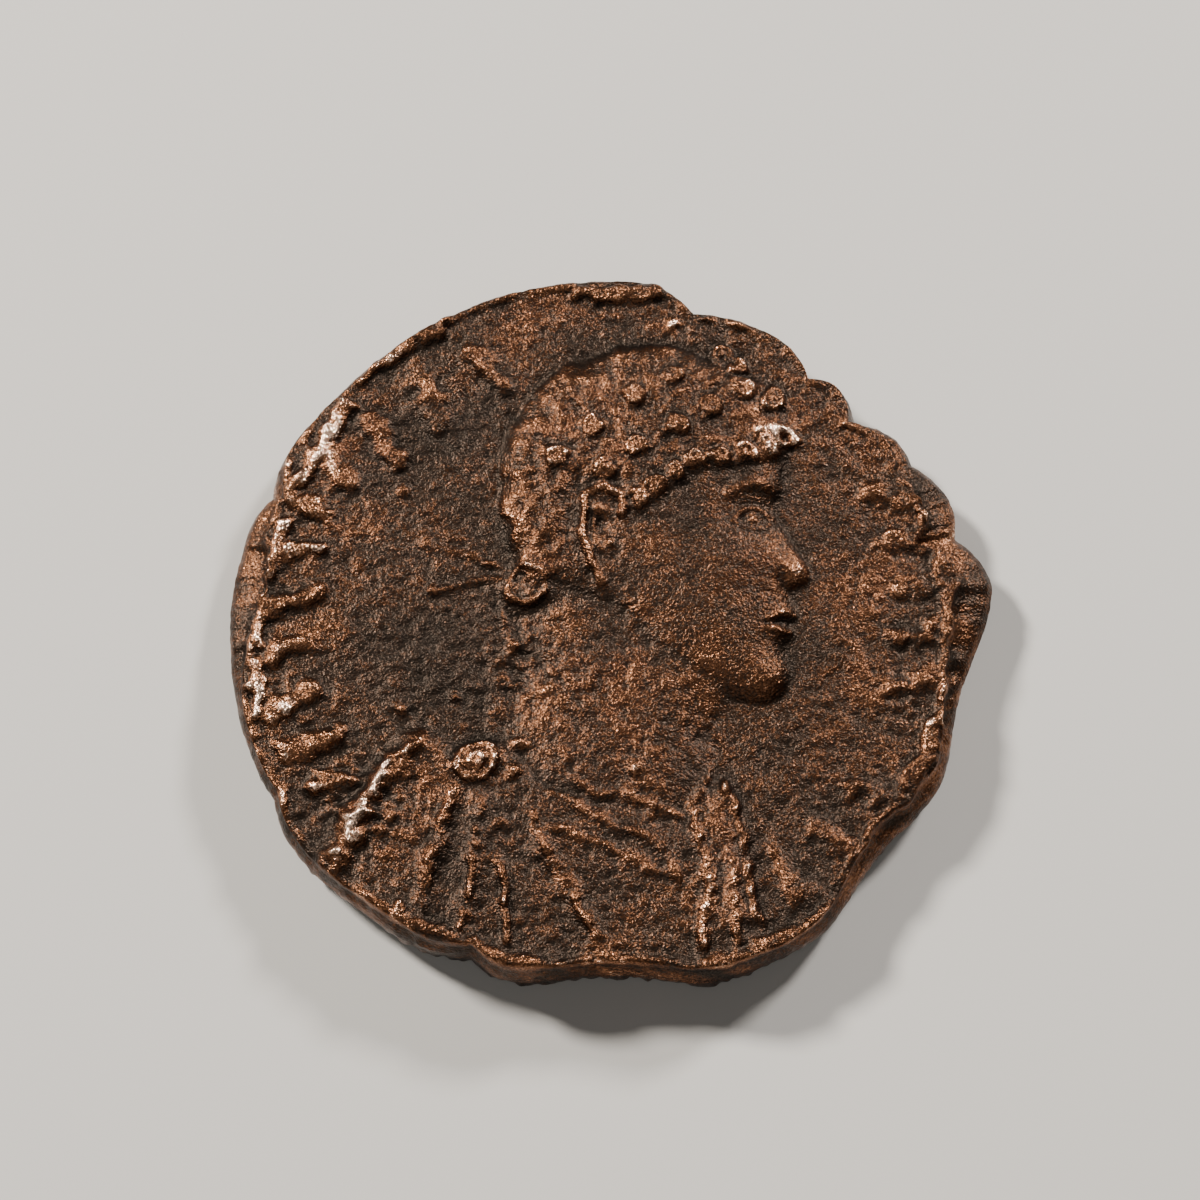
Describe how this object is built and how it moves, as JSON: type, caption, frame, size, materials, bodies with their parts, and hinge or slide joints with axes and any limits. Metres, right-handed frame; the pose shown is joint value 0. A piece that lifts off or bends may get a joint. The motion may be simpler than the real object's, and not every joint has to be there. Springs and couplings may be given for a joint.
{
  "type": "ancient bronze coin",
  "caption": "Worn, irregular struck bronze coin with a pearl-diademed draped bust in low relief and a wreath on its reverse.",
  "frame": {"origin": "in the plane that the coin rests on, under the middle of its outline's box", "axes": "+Z out of the obverse, +Y to the top of the bust's head, +X the way the bust looks"},
  "size_m": [0.0186, 0.018, 0.0022],
  "materials": {
    "bronze": "worn dark brown patina over copper-coloured bronze, granular, semi-matt"
  },
  "bodies": {
    "root": {"coin": "bronze"}
  },
  "joints": []
}
